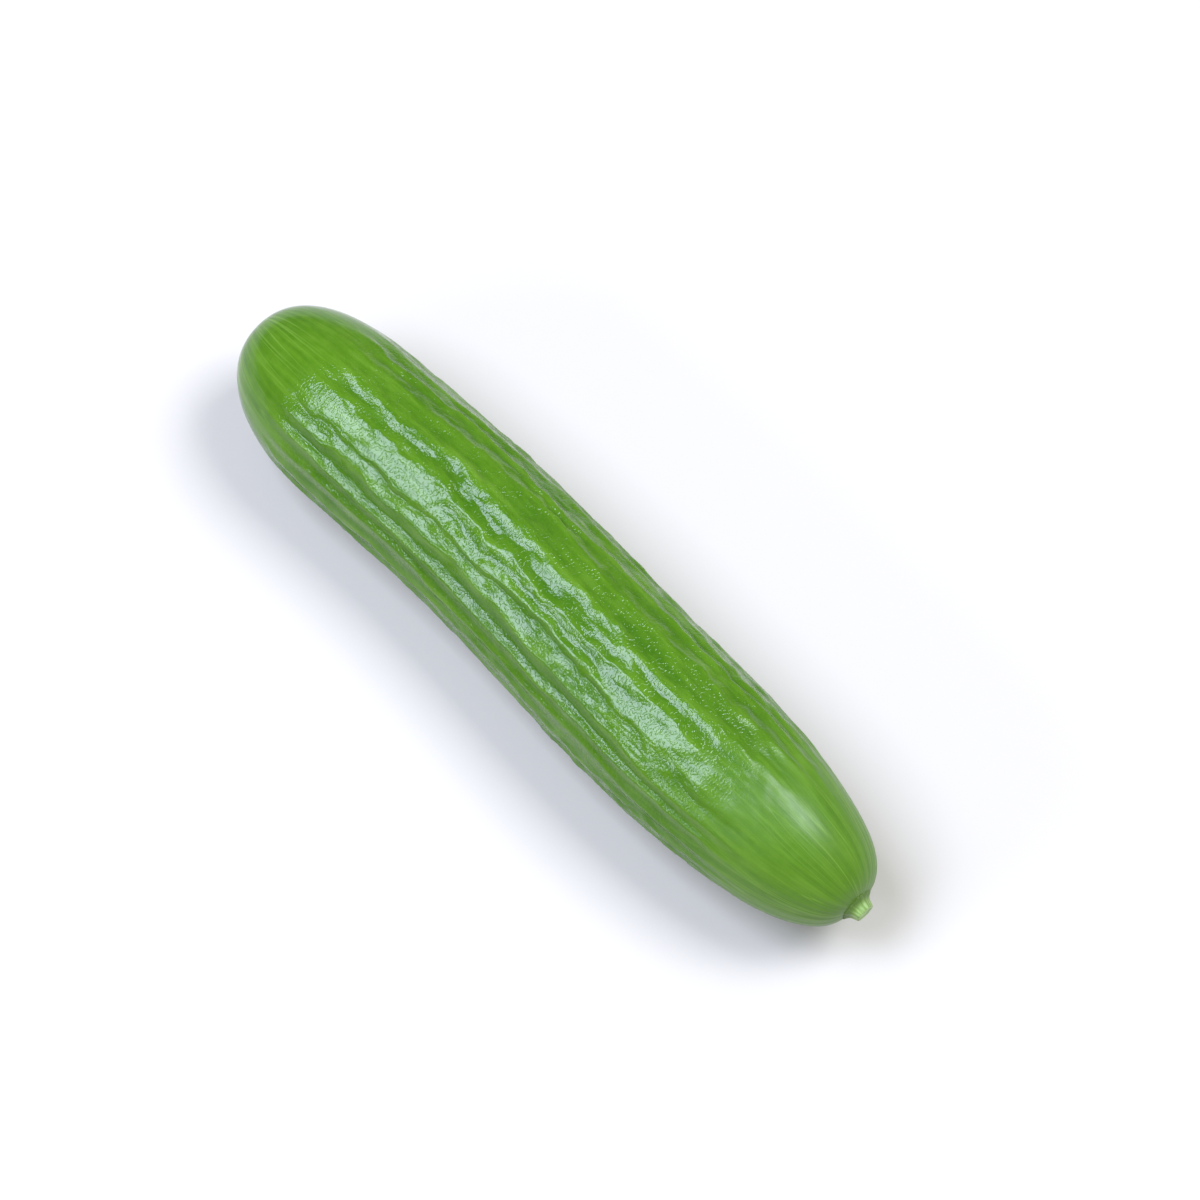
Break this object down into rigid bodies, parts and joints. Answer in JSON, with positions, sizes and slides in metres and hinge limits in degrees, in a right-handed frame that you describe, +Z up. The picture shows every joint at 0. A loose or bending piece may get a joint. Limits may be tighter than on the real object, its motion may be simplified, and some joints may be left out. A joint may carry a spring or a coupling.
{
  "type": "cucumber",
  "caption": "Slim mini cucumber lying on its underside, with shallow ribs and fine wrinkles in its green skin, a short cut stalk and a small blossom scar.",
  "frame": {"origin": "bottom centre of the bounding box, on the surface that the fruit lies on", "axes": "+X along the fruit from the blossom end to the cut stalk, +Z up"},
  "size_m": [0.1604, 0.0348, 0.0335],
  "materials": {
    "skin": "fresh green skin with a soft waxy gloss, finely wrinkled, paler at the blossom end and darker at the stalk"
  },
  "bodies": {
    "root": {"cucumber": "skin"}
  },
  "joints": []
}
